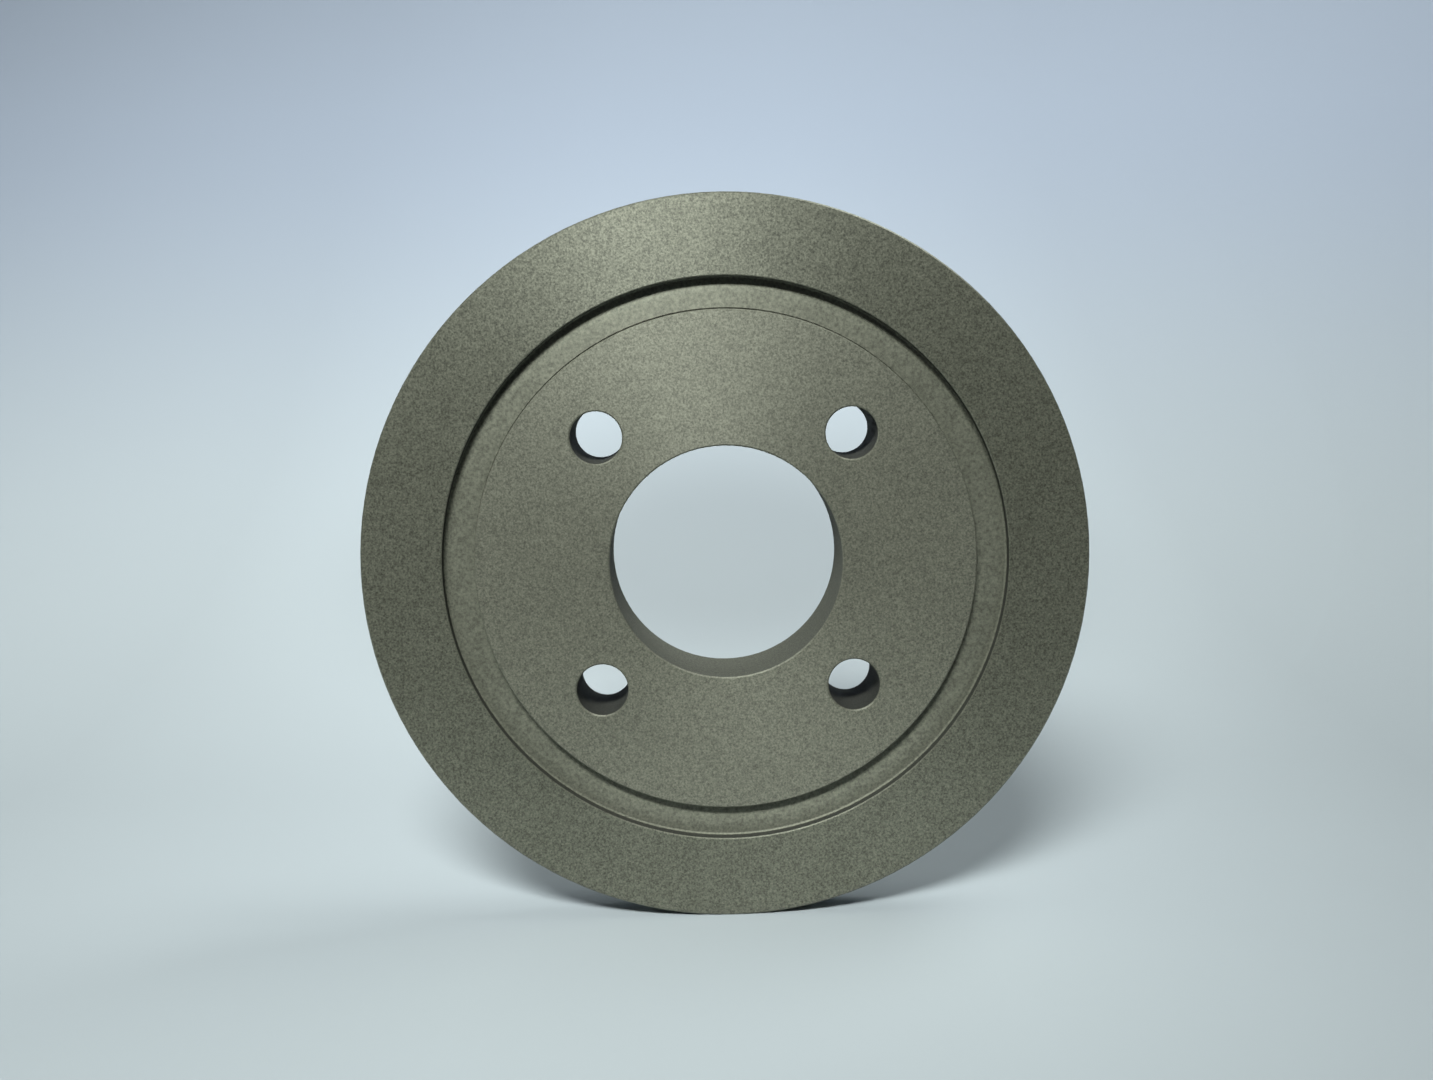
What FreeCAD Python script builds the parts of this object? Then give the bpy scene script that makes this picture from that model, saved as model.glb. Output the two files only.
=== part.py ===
"""Semi-floating brake disc rotor: a friction ring carried on a hub by eight sprung drive buttons.

In the assembly the rotor's axis is Y, the outboard face looks along -Y and Z is up. The origin is on
the axis, halfway through the hub. Each piece is drawn about its own Z axis, which its placement turns
to point inboard, along +Y. Sizes are in millimetres.
"""
import FreeCAD, Part
import os
import Sketcher

from FreeCAD import Placement, Rotation, Vector

PARTS_FOLDER = "parts"
SHEET = "Dims"
STATION_COUNT = 8
FIRST_STATION_ANGLE = 22.5
BOLT_COUNT = 4
FIRST_BOLT_ANGLE = 45.0
FULL_TURN = 360.0
HEXAGON_SIDES = 6
TOLERANCE = 1e-4
AXIS = Vector(0, 0, 1)
INBOARD = Rotation(Vector(1, 0, 0), -90)

DIMENSIONS = {
    "ring_diameter": 203.0,
    "ring_thickness": 15.0,
    "track_inner_diameter": 158.0,
    "rear_recess_diameter": 164.0,
    "groove_depth": 3.5,
    "groove_fall": 0.5,
    "groove_fall_width": 3.1,
    "web_thickness": 9.5,
    "web_gap": 0.15,
    "hub_diameter": 140.0,
    "hub_thickness": 28.5,
    "flange_diameter": 162.8,
    "flange_thickness": 6.0,
    "boss_diameter": 128.0,
    "bore_diameter": 65.0,
    "bolt_circle": 100.0,
    "bolt_hole_diameter": 14.5,
    "button_circle": 150.0,
    "button_diameter": 7.0,
    "button_clearance": 0.05,
    "button_bore": 5.3,
    "button_head_diameter": 11.0,
    "button_head_height": 2.0,
    "spring_height": 0.8,
    "spring_plate": 0.5,
    "spring_bore": 7.4,
    "spring_diameter": 10.8,
    "thread_diameter": 5.0,
    "thread_clearance": 0.05,
    "thread_depth": 6.0,
    "screw_length": 14.0,
    "screw_head_diameter": 9.5,
    "screw_head_height": 2.75,
    "screw_head_round": 2.1,
    "socket_flats": 3.0,
    "socket_depth": 1.7,
    "edge_chamfer": 0.4,
    "fine_chamfer": 0.3,
    "seat_chamfer": 0.8,
    "tip_chamfer": 0.5,
    "groove_fillet": 0.5,
    "groove_fall_blend": 12.0,
    "seat_fillet": 0.5,
    "boss_fillet": 1.5,
}


def cell(alias):
    """Formula that reads one dimension from the sheet."""
    return "{s}.{a}".format(s=SHEET, a=alias)


def half(alias):
    """Formula for the radius that belongs to a diameter."""
    return "{c} / 2".format(c=cell(alias))


def total(*formulas):
    """Formula that adds up others."""
    return " + ".join(formulas)


def less(formula, taken):
    """Formula that takes one length from another."""
    return "{f} - {t}".format(f=formula, t=taken)


ZERO = "0"

# Distances inboard of the rotor's outboard face
WEB_FRONT = cell("groove_depth")
WALL_FOOT = total(WEB_FRONT, cell("groove_fall"))
WEB_REAR = total(WEB_FRONT, cell("web_thickness"))
RING_REAR = cell("ring_thickness")
FLANGE_REAR = total(WEB_REAR, cell("flange_thickness"))
SCREW_SEAT = total(FLANGE_REAR, cell("spring_height"), cell("button_head_height"))
HUB_REAR = cell("hub_thickness")

# Sizes that are worked out rather than driven
WEB_BORE = total(half("hub_diameter"), cell("web_gap"))
FALL_START = less(half("track_inner_diameter"), cell("groove_fall_width"))
BUTTON_HOLE = total(half("button_diameter"), cell("button_clearance"))
BUTTON_SHANK = total(cell("flange_thickness"), cell("spring_height"))
BUTTON_LENGTH = total(BUTTON_SHANK, cell("button_head_height"))
SCREW_SHANK = less(half("thread_diameter"), cell("thread_clearance"))
SCREW_TIP = "-{length}".format(length=cell("screw_length"))
SPRING_CONE = less(cell("spring_height"), cell("spring_plate"))


def make_sheet(doc):
    """Spreadsheet that holds every driving dimension under its own alias."""
    sheet = doc.addObject("Spreadsheet::Sheet", SHEET)
    for row, (alias, value) in enumerate(DIMENSIONS.items(), start=1):
        sheet.set("A{r}".format(r=row), alias)
        sheet.set("B{r}".format(r=row), str(value))
        sheet.setAlias("B{r}".format(r=row), alias)
    doc.recompute()


def evaluate(doc, formula):
    """Value of a formula on the sheet."""
    value = doc.getObject(SHEET).evalExpression(formula)
    return float(getattr(value, "Value", value))


def new_body(doc, label):
    """Empty body whose label names the piece."""
    body = doc.addObject("PartDesign::Body", label)
    body.Label = label
    return body


def origin_feature(body, role):
    """One of the body's own origin planes or axes."""
    for feature in body.Origin.OriginFeatures:
        if feature.Role == role:
            return feature
    raise LookupError(role)


def new_sketch(body, name, plane, lift=ZERO):
    """Sketch on one of the body's origin planes, lifted along the plane's normal by a formula."""
    sketch = body.newObject("Sketcher::SketchObject", name)
    sketch.AttachmentSupport = [(origin_feature(body, plane), "")]
    sketch.MapMode = "FlatFace"
    if lift != ZERO:
        sketch.setExpression("AttachmentOffset.Base.z", lift)
    return sketch


def bind(sketch, constraint, formula):
    """Add a constraint whose value follows a formula."""
    number = sketch.addConstraint(constraint)
    sketch.setExpression("Constraints[{n}]".format(n=number), formula)


def fix_point(sketch, direction, axis, line, value, formula):
    """Fix the start of a line in one direction, on the sketch's axis or at a formula's distance from it."""
    if formula == ZERO:
        sketch.addConstraint(Sketcher.Constraint("PointOnObject", line, 1, axis))
    else:
        bind(sketch, Sketcher.Constraint(direction, -1, 1, line, 1, value), formula)


def draw_outline(doc, sketch, corners):
    """Closed outline of straight sides through corners, each a pair of formulas: radius, distance along.

    A side whose two ends share a formula is held upright or level, so that formula is dimensioned once.
    """
    points = [Vector(evaluate(doc, across), evaluate(doc, along), 0) for across, along in corners]
    count = len(corners)
    for index, point in enumerate(points):
        sketch.addGeometry(Part.LineSegment(point, points[(index + 1) % count]), False)
    for index in range(count):
        sketch.addConstraint(Sketcher.Constraint("Coincident", index, 2, (index + 1) % count, 1))
    for index, (across, along) in enumerate(corners):
        side_before = (index - 1) % count
        across_before, along_before = corners[side_before]
        if across == across_before:
            sketch.addConstraint(Sketcher.Constraint("Vertical", side_before))
        else:
            fix_point(sketch, "DistanceX", -2, index, points[index].x, across)
        if along == along_before:
            sketch.addConstraint(Sketcher.Constraint("Horizontal", side_before))
        else:
            fix_point(sketch, "DistanceY", -1, index, points[index].y, along)


def revolve(doc, body, name, corners):
    """Solid of revolution about the body's Z axis."""
    sketch = new_sketch(body, name + "Outline", "XZ_Plane")
    draw_outline(doc, sketch, corners)
    feature = body.newObject("PartDesign::Revolution", name)
    feature.Profile = sketch
    feature.ReferenceAxis = (sketch, ["V_Axis"])
    feature.Angle = FULL_TURN
    doc.recompute()


def circle_names(doc, feature, rims):
    """Names of the feature's circles about Z with the radii and distances along it that rims lists."""
    wanted = [(evaluate(doc, across), evaluate(doc, along)) for across, along in rims]
    names = []
    for number, edge in enumerate(feature.Shape.Edges, start=1):
        if not isinstance(edge.Curve, Part.Circle):
            continue
        for across, along in wanted:
            same_radius = abs(edge.Curve.Radius - across) < TOLERANCE
            same_plane = abs(edge.Curve.Center.z - along) < TOLERANCE
            if same_radius and same_plane:
                names.append("Edge{n}".format(n=number))
    if len(names) < len(wanted):
        raise LookupError("edges missing for {r}".format(r=rims))
    return names


def dress_edges(doc, body, kind, name, size, rims):
    """Chamfer or fillet, of the size in one cell, on the circles that rims lists."""
    base = body.Tip
    feature = body.newObject("PartDesign::" + kind, name)
    feature.Base = (base, circle_names(doc, base, rims))
    feature.setExpression("Radius" if kind == "Fillet" else "Size", cell(size))
    doc.recompute()


def draw_hole(doc, sketch, size, pitch, angle):
    """Circle of radius size on a pitch circle, both formulas, at an angle in degrees from the sketch's X."""
    centre = Rotation(AXIS, angle).multVec(Vector(evaluate(doc, pitch), 0, 0))
    circle = sketch.addGeometry(Part.Circle(centre, AXIS, evaluate(doc, size)), False)
    across = "({p}) * cos({a} deg)".format(p=pitch, a=angle)
    along = "({p}) * sin({a} deg)".format(p=pitch, a=angle)
    bind(sketch, Sketcher.Constraint("DistanceX", -1, 1, circle, 3, centre.x), across)
    bind(sketch, Sketcher.Constraint("DistanceY", -1, 1, circle, 3, centre.y), along)
    bind(sketch, Sketcher.Constraint("Radius", circle, evaluate(doc, size)), size)


def drill_circle(doc, body, name, size, pitch, angle, count, start, depth=None):
    """Round holes on a pitch circle: a pocket at the first angle, down from the level start, and its pattern.

    Size is the radius of a hole and pitch that of the circle, both formulas. With no depth it goes through.
    """
    volume_before = body.Tip.Shape.Volume
    sketch = new_sketch(body, name + "Centre", "XY_Plane", start)
    draw_hole(doc, sketch, size, pitch, angle)
    pocket = body.newObject("PartDesign::Pocket", name)
    pocket.Profile = sketch
    if depth is None:
        pocket.Type = "ThroughAll"
    else:
        pocket.setExpression("Length", depth)
    doc.recompute()
    pattern = body.newObject("PartDesign::PolarPattern", name + "Pattern")
    pattern.Originals = [pocket]
    pattern.Axis = (origin_feature(body, "Z_Axis"), [""])
    pattern.Angle = FULL_TURN
    pattern.Occurrences = count
    body.Tip = pattern
    doc.recompute()
    if body.Tip.Shape.Volume >= volume_before:
        raise ValueError("{n} cuts nothing".format(n=name))


def drill_stations(doc, body, name, size, start, depth):
    """One hole at each drive station."""
    pitch = half("button_circle")
    drill_circle(doc, body, name, size, pitch, FIRST_STATION_ANGLE, STATION_COUNT, start, depth)


def place_on_axis(body):
    """Stand the piece on the rotor's axis with its Z = 0 plane at the outboard face."""
    body.Placement = Placement(Vector(0, 0, 0), INBOARD)
    body.setExpression("Placement.Base.y", "-{h} / 2".format(h=cell("hub_thickness")))


def place_at_station(body, station, level):
    """Put the piece at one drive station, its Z = 0 plane at a level inboard of the outboard face."""
    angle = FIRST_STATION_ANGLE + station * FULL_TURN / STATION_COUNT
    body.Placement = Placement(Vector(0, 0, 0), Rotation(Vector(0, 1, 0), -angle).multiply(INBOARD))
    reach = half("button_circle")
    body.setExpression("Placement.Base.x", "{r} * cos({a} deg)".format(r=reach, a=angle))
    body.setExpression("Placement.Base.y", "{l} - {h} / 2".format(l=level, h=cell("hub_thickness")))
    body.setExpression("Placement.Base.z", "{r} * sin({a} deg)".format(r=reach, a=angle))


def make_hub_carrier(doc):
    """Thick hub with a rear flange: centre bore, four bolt holes and eight holes for the drive buttons."""
    body = new_body(doc, "hub_carrier")
    bore = half("bore_diameter")
    hub = half("hub_diameter")
    flange = half("flange_diameter")
    boss = half("boss_diameter")
    revolve(doc, body, "HubTurning", [
        (bore, ZERO),
        (hub, ZERO),
        (hub, WEB_REAR),
        (flange, WEB_REAR),
        (flange, FLANGE_REAR),
        (boss, FLANGE_REAR),
        (boss, HUB_REAR),
        (bore, HUB_REAR),
    ])
    dress_edges(doc, body, "Fillet", "RingSeatFillet", "seat_fillet", [(hub, WEB_REAR)])
    dress_edges(doc, body, "Fillet", "BossFillet", "boss_fillet", [(boss, FLANGE_REAR)])
    dress_edges(doc, body, "Chamfer", "HubFaceEdge", "fine_chamfer", [(hub, ZERO)])
    flange_rims = [(flange, WEB_REAR), (flange, FLANGE_REAR)]
    dress_edges(doc, body, "Chamfer", "FlangeEdges", "edge_chamfer", flange_rims)
    dress_edges(doc, body, "Chamfer", "BossEdge", "seat_chamfer", [(boss, HUB_REAR)])
    bolt_hole = half("bolt_hole_diameter")
    pitch = half("bolt_circle")
    drill_circle(doc, body, "BoltHole", bolt_hole, pitch, FIRST_BOLT_ANGLE, BOLT_COUNT, HUB_REAR)
    mouths = [(bore, ZERO), (bore, HUB_REAR), (bolt_hole, ZERO), (bolt_hole, HUB_REAR)]
    dress_edges(doc, body, "Chamfer", "HoleMouths", "edge_chamfer", mouths)
    drill_stations(doc, body, "ButtonHole", BUTTON_HOLE, FLANGE_REAR, cell("flange_thickness"))
    place_on_axis(body)
    return body


def make_friction_ring(doc):
    """Ring with a track on both faces and a thinner web inside it, drilled from behind for the screws."""
    body = new_body(doc, "friction_ring")
    rim = half("ring_diameter")
    track = half("track_inner_diameter")
    recess = half("rear_recess_diameter")
    revolve(doc, body, "RingTurning", [
        (track, ZERO),
        (rim, ZERO),
        (rim, RING_REAR),
        (recess, RING_REAR),
        (recess, WEB_REAR),
        (WEB_BORE, WEB_REAR),
        (WEB_BORE, WEB_FRONT),
        (FALL_START, WEB_FRONT),
        (track, WALL_FOOT),
    ])
    corners = [(track, WALL_FOOT), (recess, WEB_REAR)]
    dress_edges(doc, body, "Fillet", "GrooveCorners", "groove_fillet", corners)
    dress_edges(doc, body, "Fillet", "FloorBlend", "groove_fall_blend", [(FALL_START, WEB_FRONT)])
    dress_edges(doc, body, "Chamfer", "RimEdges", "edge_chamfer", [(rim, ZERO), (rim, RING_REAR)])
    dress_edges(doc, body, "Chamfer", "TrackEdges", "fine_chamfer", [(track, ZERO), (recess, RING_REAR)])
    dress_edges(doc, body, "Chamfer", "WebFrontEdge", "fine_chamfer", [(WEB_BORE, WEB_FRONT)])
    dress_edges(doc, body, "Chamfer", "WebRearEdge", "seat_chamfer", [(WEB_BORE, WEB_REAR)])
    drill_stations(doc, body, "ScrewHole", half("thread_diameter"), WEB_REAR, cell("thread_depth"))
    place_on_axis(body)
    return body


def make_drive_button(doc, station):
    """Flanged steel sleeve: its shank fills the flange hole and its end butts on the ring's web."""
    body = new_body(doc, "drive_button_{n}".format(n=station + 1))
    bore = half("button_bore")
    shank = half("button_diameter")
    head = half("button_head_diameter")
    revolve(doc, body, "ButtonTurning", [
        (bore, ZERO),
        (shank, ZERO),
        (shank, BUTTON_SHANK),
        (head, BUTTON_SHANK),
        (head, BUTTON_LENGTH),
        (bore, BUTTON_LENGTH),
    ])
    edges = [(shank, ZERO), (head, BUTTON_LENGTH)]
    dress_edges(doc, body, "Chamfer", "ButtonEdges", "fine_chamfer", edges)
    place_at_station(body, station, WEB_REAR)
    return body


def make_spring_washer(doc, station):
    """Conical spring washer, resting on the flange by its outer edge and on the button by its inner one."""
    body = new_body(doc, "spring_washer_{n}".format(n=station + 1))
    bore = half("spring_bore")
    rim = half("spring_diameter")
    revolve(doc, body, "WasherCone", [
        (bore, SPRING_CONE),
        (rim, ZERO),
        (rim, cell("spring_plate")),
        (bore, cell("spring_height")),
    ])
    place_at_station(body, station, FLANGE_REAR)
    return body


def draw_hexagon(doc, sketch, flats):
    """Regular hexagon on a construction circle, sized across its flats."""
    corner_radius = "{f} / sqrt(3)".format(f=flats)
    first_corner = Vector(evaluate(doc, corner_radius), 0, 0)
    turns = [Rotation(AXIS, side * FULL_TURN / HEXAGON_SIDES) for side in range(HEXAGON_SIDES)]
    corners = [turn.multVec(first_corner) for turn in turns]
    for side, corner in enumerate(corners):
        sketch.addGeometry(Part.LineSegment(corner, corners[(side + 1) % HEXAGON_SIDES]), False)
    circle = sketch.addGeometry(Part.Circle(Vector(0, 0, 0), AXIS, first_corner.x), True)
    sketch.addConstraint(Sketcher.Constraint("Coincident", circle, 3, -1, 1))
    bind(sketch, Sketcher.Constraint("Radius", circle, first_corner.x), corner_radius)
    sketch.addConstraint(Sketcher.Constraint("PointOnObject", 0, 1, -1))
    for side in range(HEXAGON_SIDES):
        sketch.addConstraint(Sketcher.Constraint("Coincident", side, 2, (side + 1) % HEXAGON_SIDES, 1))
        sketch.addConstraint(Sketcher.Constraint("PointOnObject", side, 1, circle))
    for side in range(1, HEXAGON_SIDES):
        sketch.addConstraint(Sketcher.Constraint("Equal", 0, side))


def make_button_screw(doc, station):
    """Domed socket screw that clamps the button to the ring's web."""
    body = new_body(doc, "button_screw_{n}".format(n=station + 1))
    head = half("screw_head_diameter")
    head_top = cell("screw_head_height")
    revolve(doc, body, "ScrewTurning", [
        (ZERO, SCREW_TIP),
        (SCREW_SHANK, SCREW_TIP),
        (SCREW_SHANK, ZERO),
        (head, ZERO),
        (head, head_top),
        (ZERO, head_top),
    ])
    dress_edges(doc, body, "Fillet", "HeadDome", "screw_head_round", [(head, head_top)])
    dress_edges(doc, body, "Chamfer", "ShankTip", "tip_chamfer", [(SCREW_SHANK, SCREW_TIP)])
    volume_before = body.Tip.Shape.Volume
    sketch = new_sketch(body, "SocketHexagon", "XY_Plane", head_top)
    draw_hexagon(doc, sketch, cell("socket_flats"))
    socket = body.newObject("PartDesign::Pocket", "Socket")
    socket.Profile = sketch
    socket.setExpression("Length", cell("socket_depth"))
    doc.recompute()
    if body.Tip.Shape.Volume >= volume_before:
        raise ValueError("the socket cuts nothing")
    place_at_station(body, station, SCREW_SEAT)
    return body


def check_document(doc, pieces):
    """Stop before anything is written if an object failed or a piece isn't one valid solid."""
    for item in doc.Objects:
        if "Invalid" in item.State or "Error" in item.State:
            raise ValueError("{n} failed: {s}".format(n=item.Name, s=item.State))
    for piece in pieces:
        if piece.Shape.isNull() or not piece.Shape.isValid() or len(piece.Shape.Solids) != 1:
            raise ValueError("{n} isn't one valid solid".format(n=piece.Label))


def export_pieces(pieces):
    """Write each piece to its own STEP file."""
    os.makedirs(PARTS_FOLDER, exist_ok=True)
    for piece in pieces:
        piece.Shape.exportStep(os.path.join(PARTS_FOLDER, piece.Label + ".step"))
        print("{n}: {v:.0f} mm3".format(n=piece.Label, v=piece.Shape.Volume))


def build():
    """Whole rotor: the hub carrier, the friction ring and the three pieces of each drive station."""
    doc = FreeCAD.newDocument("BrakeRotor")
    make_sheet(doc)
    pieces = [make_hub_carrier(doc), make_friction_ring(doc)]
    for station in range(STATION_COUNT):
        pieces.append(make_drive_button(doc, station))
        pieces.append(make_spring_washer(doc, station))
        pieces.append(make_button_screw(doc, station))
    doc.recompute()
    check_document(doc, pieces)
    export_pieces(pieces)


build()
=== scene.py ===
"""Looks for a semi-floating brake disc rotor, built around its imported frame.

Everything is in metres in the frame of the CAD part. The rotor's axis is Y, its
outboard face looks to -Y, and it stands on its rim on the floor.
"""
import math

import bpy
from mathutils import Euler, Matrix, Vector


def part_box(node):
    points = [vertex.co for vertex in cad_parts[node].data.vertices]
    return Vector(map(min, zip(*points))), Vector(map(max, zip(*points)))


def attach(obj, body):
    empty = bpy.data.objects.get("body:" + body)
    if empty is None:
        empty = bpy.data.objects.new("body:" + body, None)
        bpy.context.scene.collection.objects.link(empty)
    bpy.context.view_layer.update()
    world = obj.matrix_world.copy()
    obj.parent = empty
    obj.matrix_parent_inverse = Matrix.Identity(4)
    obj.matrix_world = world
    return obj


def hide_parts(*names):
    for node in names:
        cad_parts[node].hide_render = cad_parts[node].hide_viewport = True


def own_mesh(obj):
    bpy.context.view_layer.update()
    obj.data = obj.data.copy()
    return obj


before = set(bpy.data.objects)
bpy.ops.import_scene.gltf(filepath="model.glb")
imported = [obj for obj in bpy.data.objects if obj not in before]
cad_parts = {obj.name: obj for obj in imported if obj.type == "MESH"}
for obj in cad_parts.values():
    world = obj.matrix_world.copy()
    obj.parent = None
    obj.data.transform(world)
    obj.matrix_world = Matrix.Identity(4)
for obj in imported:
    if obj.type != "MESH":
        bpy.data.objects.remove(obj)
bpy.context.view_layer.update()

MM = 0.001

RING_LOW, RING_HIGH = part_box("friction_ring")
DISC_RADIUS = (RING_HIGH.x - RING_LOW.x) / 2
OUTBOARD_Y = RING_LOW.y
FLOOR_Z = RING_LOW.z
FACE_CENTRE = Vector((0.0, OUTBOARD_Y, 0.0))

# Levels and radii that tell one machined zone of the ring from another
GROOVE_DEPTH = 3.5 * MM
TRACK_INNER_RADIUS = 79.0 * MM

# Bands of the share of a surface's normal that lies along the axis: 1 on faces, 0 on walls
CHAMFER_RISE = (0.35, 0.6)
CHAMFER_FALL = (0.82, 0.96)
WALL_BAND = (0.1, 0.4)

# The groove's mask fades in between these shares of its depth
GROOVE_BAND = (0.85, 0.95)

# The band that most values of a noise texture lie in, and each texture's detail and roughness
NOISE_LOW = 0.3
NOISE_HIGH = 0.7
FINE_NOISE = (2.0, 0.7)
COARSE_NOISE = (3.0, 0.65)
BLOTCH_NOISE = (4.0, 0.55)
STEEL_NOISE = (3.0, 0.6)
TURNING_NOISE = (3.0, 0.6)

# Hard-anodised finish: sizes of its grain, blotches and tool marks, and how far each one shows
FINE_GRAIN = 0.5 * MM
COARSE_GRAIN = 0.8 * MM
BLOTCH_SIZE = 22.0 * MM
TURNING_PITCH = 0.5 * MM
FINE_BAND = (0.28, 0.72)
GROOVE_TONE = 1.02
GROOVE_DARK_SHARE = 0.55
GROOVE_BRIGHT_SHARE = 0.85
GROOVE_ROUGHER = 0.2
WALL_ROUGHNESS = 0.8
WALL_LINES = (0.8, 1.2)
# Radial span over which the walls' painted shade passes from one tone to the other
WALL_SHADE_BLEND = 4.0 * MM
WORN_BRIGHTER = 1.6
WEAR_BAND = (0.4, 0.7)
WEAR_RANGE = (0.1, 0.5)
COAT_ROUGHNESS_SWING = 0.05
COAT_METALLIC = 0.6
TURNED_RELIEF = 0.35
COAT_BUMP = 0.35
COAT_RELIEF = 0.03 * MM
QUARTER_TURN = 0.25

# Small steel hardware
STEEL_GRAIN = 0.3 * MM
STEEL_FILM = 2.5 * MM
STEEL_RELIEF = 0.01 * MM
STEEL_ROUGHNESS_SWING = 0.06
RUB_BAND = (0.35, 0.65)
RUB_LEAST = 0.2

# The camera, from the centre of the outboard face, in disc radii
CAMERA_OFFSET = Vector((-0.0957, -4.533, 0.6043))
CAMERA_LENS = 41.92
CAMERA_YAW = math.radians(0.886)
CAMERA_PITCH = math.radians(6.816)
CAMERA_ROLL = math.radians(-1.094)
SENSOR_WIDTH = 36.0
NEAREST_SEEN = 0.01

# Lights: offsets and aims from the centre of the outboard face in disc radii, sizes in metres
KEY_OFFSET = Vector((-3.2, -13.6, 11.3))
KEY_AIM = Vector((-2.2, 0.0, 2.5))
KEY_SIZE = (0.85, 0.30)
KEY_POWER = 7.1
KEY_SPREAD = math.radians(50.0)
FILL_OFFSET = Vector((-6.0, -6.0, 1.5))
FILL_SIZE = (0.5, 0.5)
FILL_POWER = 0.35
WASH_OFFSET = Vector((6.5, 3.5, 10.0))
WASH_AIM = Vector((2.5, 6.5, 2.0))
WASH_SIZE = (1.2, 0.6)
WASH_POWER = 10.5
WIDE_SPREAD = math.pi
LIGHT_COLOUR = (0.93, 0.98, 1.0)
WORLD_COLOUR = (0.72, 0.82, 0.95)
WORLD_STRENGTH = 0.035
ROOM_BRIGHTNESS = 0.5

# The paper: its colour on the floor, its painted shading (darker and bluer) up the backdrop, and its
# painted falloff of light towards the sides
FLOOR_COLOUR = (0.408, 0.446, 0.450)
BACKDROP_SHADED_COLOUR = (0.340, 0.385, 0.448)
BACKDROP_BLEND = 0.34
PAINTED_FALLOFF_START = 0.07
PAINTED_FALLOFF_END = 0.26
FLOOR_PAINTED_FALLOFF = 0.20
BACKDROP_PAINTED_FALLOFF = 0.05

# A painted shadow of the disc: a darker patch of the backdrop, straight behind the disc
PAINTED_SHADOW_CENTRE = Vector((0.01, 0.41, FLOOR_Z + 0.05))
PAINTED_SHADOW_INNER = 0.05
PAINTED_SHADOW_OUTER = 0.24
PAINTED_SHADOW_TONE = 0.66

# The paper's own mottle and finish
CLOUD_SIZE = 0.4
CLOUD_DARKEST = 0.985
PAPER_ROUGHNESS = 0.9
PAPER_SHEEN = 0.1

# The sheet: flat from its front edge to the turn, then a quarter circle up into the backdrop
SHEET_FRONT = -0.22
SHEET_TURN = 0.12
SHEET_RADIUS = 0.9
SHEET_HEIGHT = 2.6
SHEET_HALF_WIDTH = 2.6
SHEET_STEPS = 48


def add(tree, kind, inputs=None, **settings):
    """A new node, with settings for its own properties and values or links for its sockets."""
    made = tree.nodes.new(kind)
    for name, value in settings.items():
        setattr(made, name, value)
    for key, value in (inputs or {}).items():
        socket = made.inputs[key]
        if isinstance(value, bpy.types.NodeSocket):
            tree.links.new(value, socket)
        else:
            socket.default_value = value
    return made


def maths(tree, operation, a, b=0.0, c=0.0):
    """The output of one math node."""
    return add(tree, "ShaderNodeMath", {0: a, 1: b, 2: c}, operation=operation).outputs[0]


def remap(tree, value, low, high, to_low=0.0, to_high=1.0, kind="LINEAR"):
    """value, from low..high to to_low..to_high, held at the ends."""
    span = {"Value": value, "From Min": low, "From Max": high, "To Min": to_low, "To Max": to_high}
    return add(tree, "ShaderNodeMapRange", span, clamp=True, interpolation_type=kind).outputs[0]


def noise(tree, where, size, detail=2.0, roughness=0.5):
    """Noise with features about size metres across."""
    inputs = {"Vector": where, "Scale": 1.0 / size, "Detail": detail, "Roughness": roughness}
    return add(tree, "ShaderNodeTexNoise", inputs, noise_dimensions="3D").outputs["Fac"]


def rings(tree, radius, size):
    """Noise that changes only with the distance from the axis: a lathe tool's marks."""
    detail, roughness = TURNING_NOISE
    inputs = {"W": radius, "Scale": 1.0 / size, "Detail": detail, "Roughness": roughness}
    return add(tree, "ShaderNodeTexNoise", inputs, noise_dimensions="1D").outputs["Fac"]


def mix_colour(tree, share, first, second):
    """Two colours mixed by share."""
    made = add(tree, "ShaderNodeMix", data_type="RGBA")
    for index, value in ((0, share), (6, first), (7, second)):
        if isinstance(value, bpy.types.NodeSocket):
            tree.links.new(value, made.inputs[index])
        else:
            made.inputs[index].default_value = value
    return made.outputs[2]


def blend_value(tree, share, first, second):
    """Two numbers mixed by share."""
    made = add(tree, "ShaderNodeMix", {0: share, 2: first, 3: second}, data_type="FLOAT")
    return made.outputs[0]


def start_material(name):
    """A material with an empty tree, its shader, and the surface's own coordinates."""
    material = bpy.data.materials.new(name)
    material.use_nodes = True
    tree = material.node_tree
    tree.nodes.clear()
    shader = tree.nodes.new("ShaderNodeBsdfPrincipled")
    output = tree.nodes.new("ShaderNodeOutputMaterial")
    tree.links.new(shader.outputs[0], output.inputs["Surface"])
    coords = tree.nodes.new("ShaderNodeTexCoord")
    return material, tree, shader, coords


def axis_coordinates(tree, where):
    """The distance from the rotor's axis and the level along it, for each point."""
    parts = add(tree, "ShaderNodeSeparateXYZ", {0: where})
    across = add(tree, "ShaderNodeCombineXYZ", {0: parts.outputs[0], 2: parts.outputs[2]})
    radius = add(tree, "ShaderNodeVectorMath", {0: across.outputs[0]}, operation="LENGTH")
    return radius.outputs["Value"], parts.outputs[1]


def edge_mask(tree, coords):
    """1 on the 45 degree chamfers, 0 on faces and walls."""
    facing = add(tree, "ShaderNodeSeparateXYZ", {0: coords.outputs["Normal"]})
    level = maths(tree, "ABSOLUTE", facing.outputs[1])
    rising = remap(tree, level, *CHAMFER_RISE)
    falling = remap(tree, level, *CHAMFER_FALL, 1.0, 0.0)
    return maths(tree, "MULTIPLY", rising, falling)


def wall_mask(tree, coords):
    """1 on walls that run along the axis, 0 on faces and chamfers."""
    facing = add(tree, "ShaderNodeSeparateXYZ", {0: coords.outputs["Normal"]})
    return remap(tree, maths(tree, "ABSOLUTE", facing.outputs[1]), *WALL_BAND, 1.0, 0.0)


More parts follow.
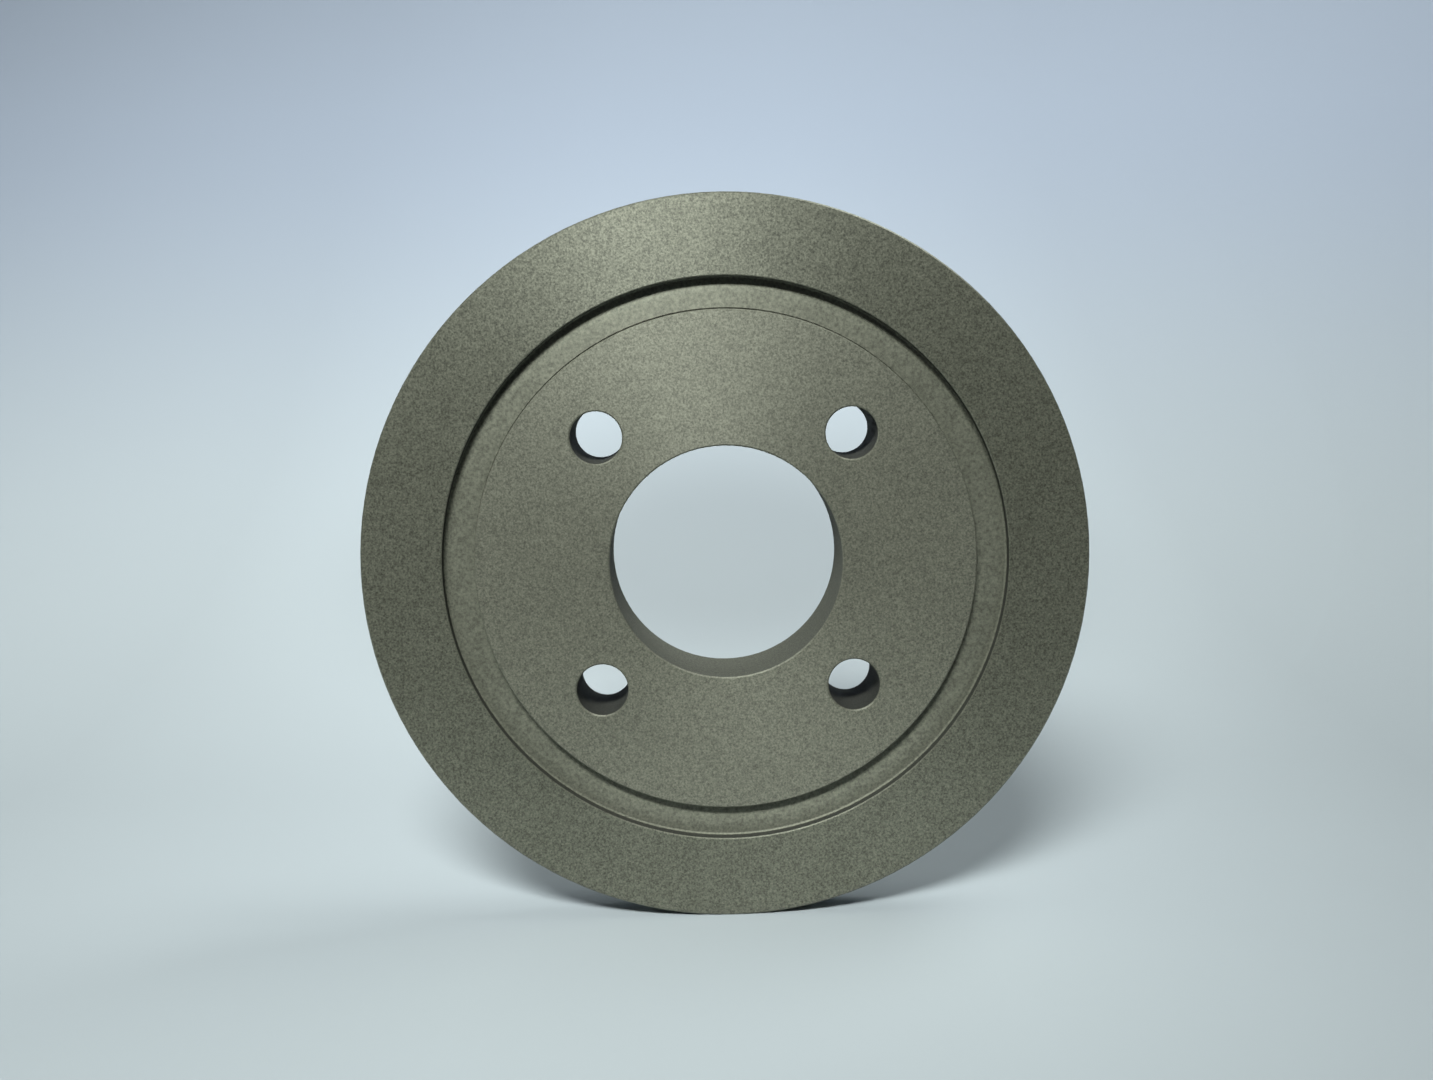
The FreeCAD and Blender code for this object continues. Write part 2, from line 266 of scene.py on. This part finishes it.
def groove_mask(tree, radius, level):
    """1 on the floor of the outboard groove and inboard of it, 0 on the braking face."""
    start, full = [OUTBOARD_Y + share * GROOVE_DEPTH for share in GROOVE_BAND]
    deep = remap(tree, level, start, full)
    inside = maths(tree, "LESS_THAN", radius, TRACK_INNER_RADIUS)
    return maths(tree, "MULTIPLY", deep, inside)


def coat_speck(tree, grain, wall, wall_painted_shade, marks, zone):
    """How bright each point of the finish is, from its grain, its groove floor and its walls' turning
    lines, with painted shade darkening the walls.
    """
    fine, coarse, turned, radius = marks
    speck = remap(tree, fine, *FINE_BAND, 1.0 - grain, 1.0 + grain)
    if zone:
        darkest, brightest = 1.0 - GROOVE_DARK_SHARE * grain, 1.0 + GROOVE_BRIGHT_SHARE * grain
        sparkle = remap(tree, coarse, NOISE_LOW, NOISE_HIGH, darkest, brightest)
        speck = blend_value(tree, zone, speck, maths(tree, "MULTIPLY", sparkle, GROOVE_TONE))
    step, inner_wall_shade, outer_wall_shade = wall_painted_shade
    lined = remap(tree, turned, NOISE_LOW, NOISE_HIGH, *WALL_LINES)
    # Painted shade: walls darker inside or outside the step radius, standing in for the shade in holes
    # and steps
    painted_wall_shade = remap(tree, radius, step, step + WALL_SHADE_BLEND, inner_wall_shade, outer_wall_shade)
    lined_and_shaded_wall = maths(tree, "MULTIPLY", lined, painted_wall_shade)
    return maths(tree, "MULTIPLY", speck, blend_value(tree, wall, 1.0, lined_and_shaded_wall))


def coat_colour(tree, coords, colour, dark, coarse, speck):
    """The anodised colour, blotched and grained, and brighter where chamfers are worn."""
    blotch = noise(tree, coords.outputs["Object"], BLOTCH_SIZE, *BLOTCH_NOISE)
    share = remap(tree, blotch, NOISE_LOW, NOISE_HIGH)
    tone = mix_colour(tree, share, (*dark, 1.0), (*colour, 1.0))
    tinted = add(tree, "ShaderNodeVectorMath", {0: tone, 3: speck}, operation="SCALE").outputs[0]
    rubbed = remap(tree, coarse, *WEAR_BAND, *WEAR_RANGE)
    wear = maths(tree, "MULTIPLY", edge_mask(tree, coords), rubbed)
    worn = [min(1.0, WORN_BRIGHTER * channel) for channel in colour]
    return mix_colour(tree, wear, tinted, (*worn, 1.0))


def coat_roughness(tree, coarse, rough, wall, zone):
    """The finish's roughness, greater on the groove's floor and on walls."""
    least, most = rough - COAT_ROUGHNESS_SWING, rough + COAT_ROUGHNESS_SWING
    spread = remap(tree, coarse, NOISE_LOW, NOISE_HIGH, least, most)
    if zone:
        spread = blend_value(tree, zone, spread, maths(tree, "ADD", spread, GROOVE_ROUGHER))
    return blend_value(tree, wall, spread, WALL_ROUGHNESS)


def hardcoat(name, colour, dark, grain, rough, streak, wall_painted_shade, groove=False):
    """Hard-anodised aluminium: turned, fine-blasted and matt, with a radial sheen.

    Its walls' tones, (radius, tone up to it, tone beyond it), are painted shade that darkens the walls
    of its holes and steps.
    """
    material, tree, shader, coords = start_material(name)
    where = coords.outputs["Object"]
    radius, level = axis_coordinates(tree, where)
    fine = noise(tree, where, FINE_GRAIN, *FINE_NOISE)
    coarse = noise(tree, where, COARSE_GRAIN, *COARSE_NOISE)
    wall = wall_mask(tree, coords)
    turned = rings(tree, blend_value(tree, wall, radius, level), TURNING_PITCH)
    zone = groove_mask(tree, radius, level) if groove else None
    marks = (fine, coarse, turned, radius)
    speck = coat_speck(tree, grain, wall, wall_painted_shade, marks, zone)
    shown = coat_colour(tree, coords, colour, dark, coarse, speck)
    tree.links.new(shown, shader.inputs["Base Color"])
    tree.links.new(coat_roughness(tree, coarse, rough, wall, zone), shader.inputs["Roughness"])
    height = maths(tree, "MULTIPLY_ADD", turned, TURNED_RELIEF, fine)
    relief = {"Height": height, "Strength": COAT_BUMP, "Distance": COAT_RELIEF}
    bump = add(tree, "ShaderNodeBump", relief)
    tree.links.new(bump.outputs[0], shader.inputs["Normal"])
    grooves = add(tree, "ShaderNodeTangent", direction_type="RADIAL", axis="Y")
    tree.links.new(grooves.outputs[0], shader.inputs["Tangent"])
    shader.inputs["Metallic"].default_value = COAT_METALLIC
    shader.inputs["Anisotropic"].default_value = streak
    shader.inputs["Anisotropic Rotation"].default_value = QUARTER_TURN
    return material


def steel(name, colour, rough, marks, grain, wear_colour, wear):
    """Turned or stamped steel for the small hardware, with brighter rubbed edges."""
    material, tree, shader, coords = start_material(name)
    where = coords.outputs["Object"]
    fine = noise(tree, where, STEEL_GRAIN, *STEEL_NOISE)
    film = noise(tree, where, STEEL_FILM, *STEEL_NOISE)
    mottle = remap(tree, film, NOISE_LOW, NOISE_HIGH, 1.0 - grain, 1.0 + grain)
    tinted = add(tree, "ShaderNodeVectorMath", {0: colour, 3: mottle}, operation="SCALE")
    rub = remap(tree, film, *RUB_BAND, RUB_LEAST, wear)
    rubbed = maths(tree, "MULTIPLY", edge_mask(tree, coords), rub)
    shown = mix_colour(tree, rubbed, tinted.outputs[0], (*wear_colour, 1.0))
    tree.links.new(shown, shader.inputs["Base Color"])
    least, most = rough - STEEL_ROUGHNESS_SWING, rough + STEEL_ROUGHNESS_SWING
    spread = remap(tree, film, NOISE_LOW, NOISE_HIGH, least, most)
    tree.links.new(spread, shader.inputs["Roughness"])
    relief = {"Height": fine, "Strength": marks, "Distance": STEEL_RELIEF}
    bump = add(tree, "ShaderNodeBump", relief)
    tree.links.new(bump.outputs[0], shader.inputs["Normal"])
    shader.inputs["Metallic"].default_value = 1.0
    return material


def stage_material():
    """Pale matt paper with painted light: shading that makes it cooler and darker up the backdrop than
    on the floor, shade towards the sides, and a shadow behind the disc.
    """
    material, tree, shader, coords = start_material("backdrop_paper")
    where = coords.outputs["Object"]
    parts = add(tree, "ShaderNodeSeparateXYZ", {0: where})
    level = parts.outputs[2]
    # Painted shading: the paper turns darker and bluer up the backdrop than on the floor
    top = FLOOR_Z + BACKDROP_BLEND
    height = remap(tree, level, FLOOR_Z, top, kind="SMOOTHSTEP")
    tone = mix_colour(tree, height, (*FLOOR_COLOUR, 1.0), (*BACKDROP_SHADED_COLOUR, 1.0))
    cloud = remap(tree, noise(tree, where, CLOUD_SIZE), NOISE_LOW, NOISE_HIGH, CLOUD_DARKEST, 1.0)
    # Painted falloff: the paper darkened towards the sides, more on the floor than up the backdrop,
    # standing in for light that fades away
    aside = maths(tree, "ABSOLUTE", parts.outputs[0])
    depth = remap(tree, level, FLOOR_Z, top, FLOOR_PAINTED_FALLOFF, BACKDROP_PAINTED_FALLOFF)
    painted_falloff = maths(tree, "MULTIPLY", remap(tree, aside, PAINTED_FALLOFF_START, PAINTED_FALLOFF_END), depth)
    # Painted shadow of the disc on the backdrop straight behind it, then combined with the painted side
    # falloff and the paper's own mottle
    from_shadow_centre = add(tree, "ShaderNodeVectorMath", {0: where, 1: PAINTED_SHADOW_CENTRE}, operation="DISTANCE")
    distance = from_shadow_centre.outputs["Value"]
    painted_shadow = remap(tree, distance, PAINTED_SHADOW_INNER, PAINTED_SHADOW_OUTER, PAINTED_SHADOW_TONE, 1.0, "SMOOTHSTEP")
    clear = maths(tree, "MULTIPLY", painted_shadow, maths(tree, "SUBTRACT", 1.0, painted_falloff))
    mottle_and_painted_shade = maths(tree, "MULTIPLY", cloud, clear)
    paper = add(tree, "ShaderNodeVectorMath", {0: tone, 3: mottle_and_painted_shade}, operation="SCALE").outputs[0]
    tree.links.new(paper, shader.inputs["Base Color"])
    shader.inputs["Roughness"].default_value = PAPER_ROUGHNESS
    shader.inputs["Specular IOR Level"].default_value = PAPER_SHEEN
    return material


def make_stage():
    """A floor that curves up into a backdrop, as one smooth sheet."""
    line = [(SHEET_FRONT, 0.0), (SHEET_TURN, 0.0)]
    for step in range(1, SHEET_STEPS + 1):
        angle = math.pi / 2 * step / SHEET_STEPS
        back = SHEET_TURN + SHEET_RADIUS * math.sin(angle)
        line.append((back, SHEET_RADIUS * (1 - math.cos(angle))))
    line.append((SHEET_TURN + SHEET_RADIUS, SHEET_HEIGHT))
    sides = (-SHEET_HALF_WIDTH, SHEET_HALF_WIDTH)
    points = [(x, y, FLOOR_Z + z) for y, z in line for x in sides]
    faces = [(2 * i, 2 * i + 1, 2 * i + 3, 2 * i + 2) for i in range(len(line) - 1)]
    mesh = bpy.data.meshes.new("backdrop")
    mesh.from_pydata(points, [], faces)
    mesh.polygons.foreach_set("use_smooth", [True] * len(mesh.polygons))
    mesh.materials.append(stage_material())
    sheet = bpy.data.objects.new("backdrop", mesh)
    bpy.context.scene.collection.objects.link(sheet)


def make_light(name, offset, size, power, spread=WIDE_SPREAD, aim=Vector()):
    """An oval area light of a width and height, aimed at the outboard face or off its centre."""
    data = bpy.data.lights.new(name, "AREA")
    data.shape = "ELLIPSE"
    data.size, data.size_y = size
    data.energy = power
    data.color = LIGHT_COLOUR
    data.spread = spread
    lamp = bpy.data.objects.new(name, data)
    lamp.location = FACE_CENTRE + DISC_RADIUS * offset
    target = FACE_CENTRE + DISC_RADIUS * aim
    lamp.rotation_euler = (target - lamp.location).to_track_quat("-Z", "Y").to_euler()
    bpy.context.scene.collection.objects.link(lamp)


def make_world():
    """A pale room beyond the sheet, that gives only dim even light."""
    world = bpy.data.worlds.new("room")
    world.use_nodes = True
    tree = world.node_tree
    background = tree.nodes["Background"]
    background.inputs["Color"].default_value = (*WORLD_COLOUR, 1.0)
    seen = add(tree, "ShaderNodeLightPath").outputs["Is Camera Ray"]
    strength = remap(tree, seen, 0.0, 1.0, WORLD_STRENGTH, ROOM_BRIGHTNESS)
    tree.links.new(strength, background.inputs["Strength"])
    bpy.context.scene.world = world


def make_camera():
    """The camera, higher than the disc's centre and looking slightly down."""
    data = bpy.data.cameras.new("camera")
    data.lens = CAMERA_LENS
    data.sensor_width = SENSOR_WIDTH
    data.clip_start = NEAREST_SEEN
    camera = bpy.data.objects.new("camera", data)
    camera.location = FACE_CENTRE + DISC_RADIUS * CAMERA_OFFSET
    aim = Euler((math.pi / 2 - CAMERA_PITCH, 0.0, -CAMERA_YAW)).to_matrix()
    camera.rotation_euler = (aim @ Matrix.Rotation(CAMERA_ROLL, 3, "Z")).to_euler()
    bpy.context.scene.collection.objects.link(camera)
    bpy.context.scene.camera = camera


HUB = hardcoat(
    "hub_hardcoat",
    colour=(0.155, 0.156, 0.116),
    dark=(0.144, 0.145, 0.108),
    grain=0.50,
    rough=0.46,
    streak=0.40,
    # Painted shade: bore walls darkened, and the bolt hole and outer walls darkened more
    wall_painted_shade=(37.0 * MM, 0.6, 0.22),
)
RING = hardcoat(
    "ring_hardcoat",
    colour=(0.128, 0.130, 0.096),
    dark=(0.117, 0.119, 0.087),
    grain=0.62,
    rough=0.40,
    streak=0.54,
    # Painted shade: the groove's wall darkened, the rim's wall left as it is
    wall_painted_shade=(80.0 * MM, 0.3, 1.0),
    groove=True,
)
BUTTON = steel("button_steel", (0.42, 0.41, 0.39), 0.34, 0.5, 0.06, (0.6, 0.59, 0.56), 0.6)
SPRING = steel("spring_steel", (0.36, 0.35, 0.33), 0.3, 0.4, 0.10, (0.55, 0.54, 0.52), 0.5)
SCREW = steel("screw_steel", (0.035, 0.035, 0.036), 0.42, 0.6, 0.2, (0.16, 0.155, 0.15), 0.55)

MATERIALS = {
    "hub_carrier": HUB,
    "friction_ring": RING,
    "drive_button": BUTTON,
    "spring_washer": SPRING,
    "button_screw": SCREW,
}


def family(node):
    """A node's name without its number."""
    stem, _, number = node.rpartition("_")
    return stem if number.isdigit() else node


for node_name, node_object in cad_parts.items():
    node_object.material_slots[0].material = MATERIALS[family(node_name)]


# Spring washers: conical like the CAD's, with eased corners, and attached to the ring
WASHER_BORE_RADIUS = 3.7 * MM
WASHER_PLATE = 0.5 * MM
WASHER_CORNER = 0.08 * MM
WASHER_SEGMENTS = 96
WASHER_SHARP_ANGLE = math.radians(30.0)


def washer_section(inner, outer, rise):
    """The cone's cut outline, (distance from the washer's axis, height above the flange)."""
    ease = WASHER_CORNER
    slope = rise / (outer - inner)
    near, far = inner + ease, outer - ease
    near_height, far_height = slope * (outer - near), slope * ease
    return [
        (near, near_height),
        (far, far_height),
        (outer, ease),
        (outer, WASHER_PLATE - ease),
        (far, far_height + WASHER_PLATE),
        (near, near_height + WASHER_PLATE),
        (inner, rise + WASHER_PLATE - ease),
        (inner, rise + ease),
    ]


def turned_mesh(name, section, base):
    """A closed mesh: section turned about the Y axis through base."""
    count = len(section)
    points, faces = [], []
    for step in range(WASHER_SEGMENTS):
        angle = 2 * math.pi * step / WASHER_SEGMENTS
        across, up = math.cos(angle), math.sin(angle)
        for distance, height in section:
            points.append((base.x + distance * across, base.y + height, base.z + distance * up))
        near = step * count
        far = (step + 1) % WASHER_SEGMENTS * count
        for i in range(count):
            j = (i + 1) % count
            faces.append((near + i, near + j, far + j, far + i))
    mesh = bpy.data.meshes.new(name)
    mesh.from_pydata(points, [], faces)
    mesh.polygons.foreach_set("use_smooth", [True] * len(mesh.polygons))
    mesh.set_sharp_from_angle(angle=WASHER_SHARP_ANGLE)
    mesh.validate()
    return mesh


def make_cone_washer(number):
    """A conical washer: its outer edge by the flange, its inner one by the button's head."""
    node = "spring_washer_%d" % number
    low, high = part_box(node)
    centre = (low + high) / 2
    outer = (high.x - low.x) / 2
    rise = (high.y - low.y) - WASHER_PLATE
    section = washer_section(WASHER_BORE_RADIUS, outer, rise)
    mesh = turned_mesh("cone_washer_%d" % number, section, Vector((centre.x, low.y, centre.z)))
    mesh.materials.append(SPRING)
    piece = bpy.data.objects.new("cone_washer_%d" % number, mesh)
    bpy.context.scene.collection.objects.link(piece)
    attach(piece, "ring")
    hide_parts(node)
    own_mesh(piece)


WASHERS = [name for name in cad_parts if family(name) == "spring_washer"]
for washer_number in range(1, len(WASHERS) + 1):
    make_cone_washer(washer_number)

make_stage()
make_light("key", KEY_OFFSET, KEY_SIZE, KEY_POWER, KEY_SPREAD, KEY_AIM)
make_light("fill", FILL_OFFSET, FILL_SIZE, FILL_POWER)
make_light("wash", WASH_OFFSET, WASH_SIZE, WASH_POWER, WIDE_SPREAD, WASH_AIM)
make_world()
make_camera()
bpy.context.scene.view_settings.view_transform = "Standard"
